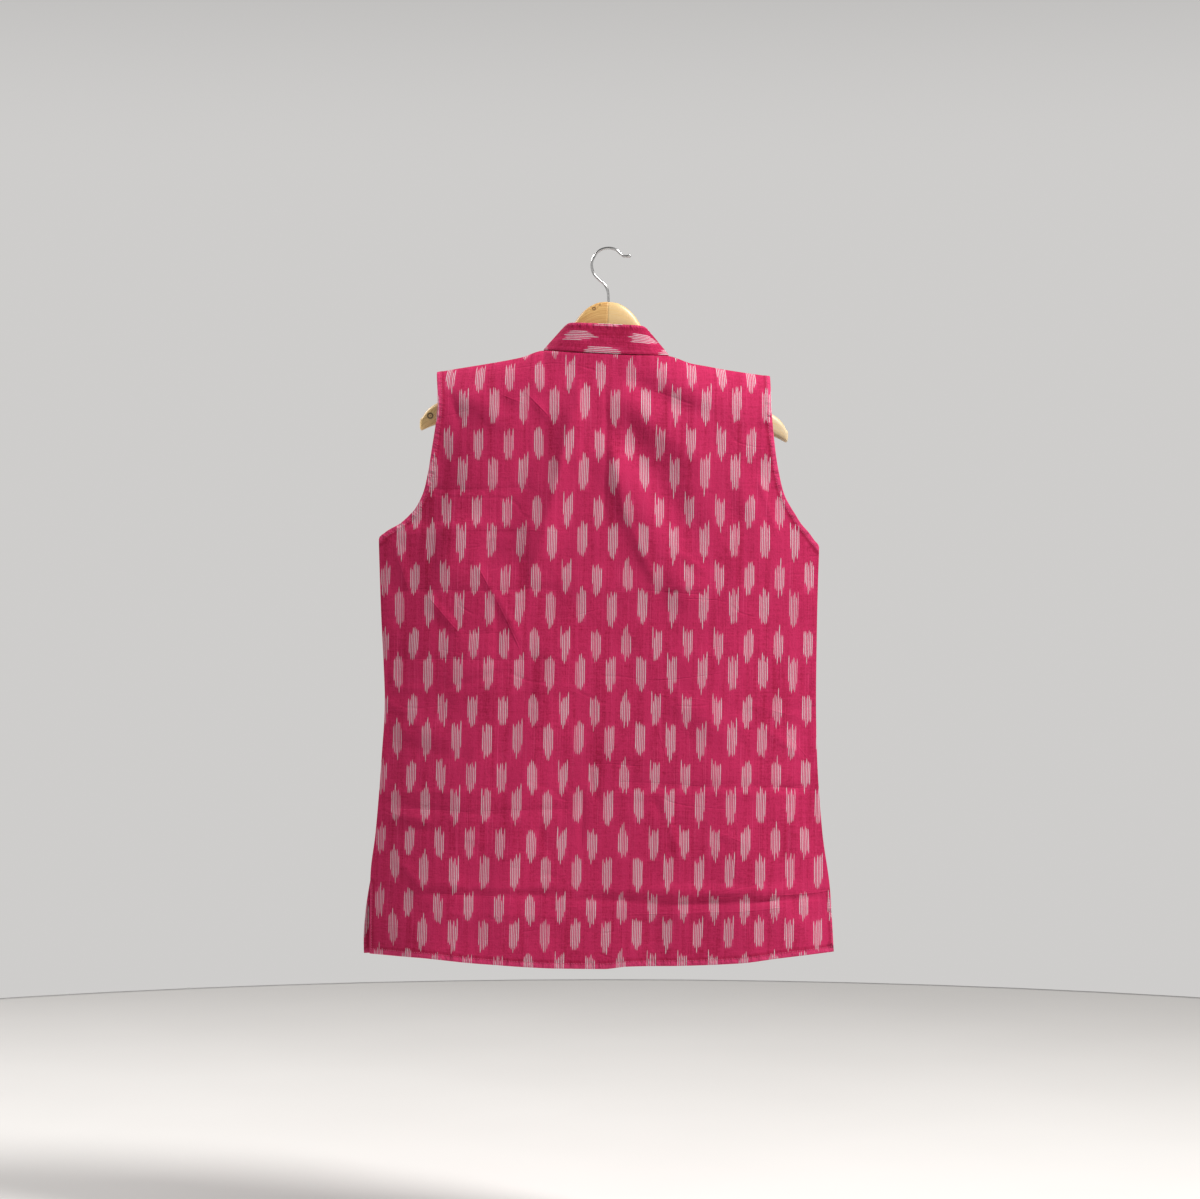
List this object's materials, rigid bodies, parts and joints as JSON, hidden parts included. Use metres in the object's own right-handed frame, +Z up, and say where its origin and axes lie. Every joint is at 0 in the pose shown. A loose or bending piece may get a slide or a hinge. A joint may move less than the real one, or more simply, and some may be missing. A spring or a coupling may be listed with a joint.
{
  "type": "nehru jacket on a wooden hanger",
  "caption": "Sleeveless stand-collar jacket of thin ikat cotton, buttoned up the front, hanging by its shoulders and collar on a contoured wooden hanger with a wire hook.",
  "frame": {"origin": "inner top of the hook's crown, where the hanger rests on its rail", "axes": "+Z up, the jacket's front faces -Y and its back +Y, +X is the wearer's left"},
  "size_m": [0.5682, 0.1106, 0.866],
  "materials": {
    "back_cotton": "plain-woven pink handloom cotton with off-white ikat dashes",
    "front_left_cotton": "plain-woven pink handloom cotton with off-white ikat dashes",
    "front_right_cotton": "plain-woven pink handloom cotton with off-white ikat dashes",
    "collar_cotton": "the same cotton cut across, stiffened and topstitched",
    "buttons": "satin plastic in the cloth's own colour",
    "hanger_wood_left": "clear-varnished honey wood",
    "hanger_wood_right": "clear-varnished honey wood, a little paler",
    "hook_steel": "bright drawn steel wire"
  },
  "bodies": {
    "root": {"back": "back_cotton", "front_left": "front_left_cotton", "front_right": "front_right_cotton", "collar": "collar_cotton", "button_1": "buttons", "button_2": "buttons", "button_3": "buttons", "button_4": "buttons", "button_5": "buttons", "hanger_half_left": "hanger_wood_left", "hanger_half_right": "hanger_wood_right", "hanger_hook": "hook_steel"}
  },
  "joints": []
}
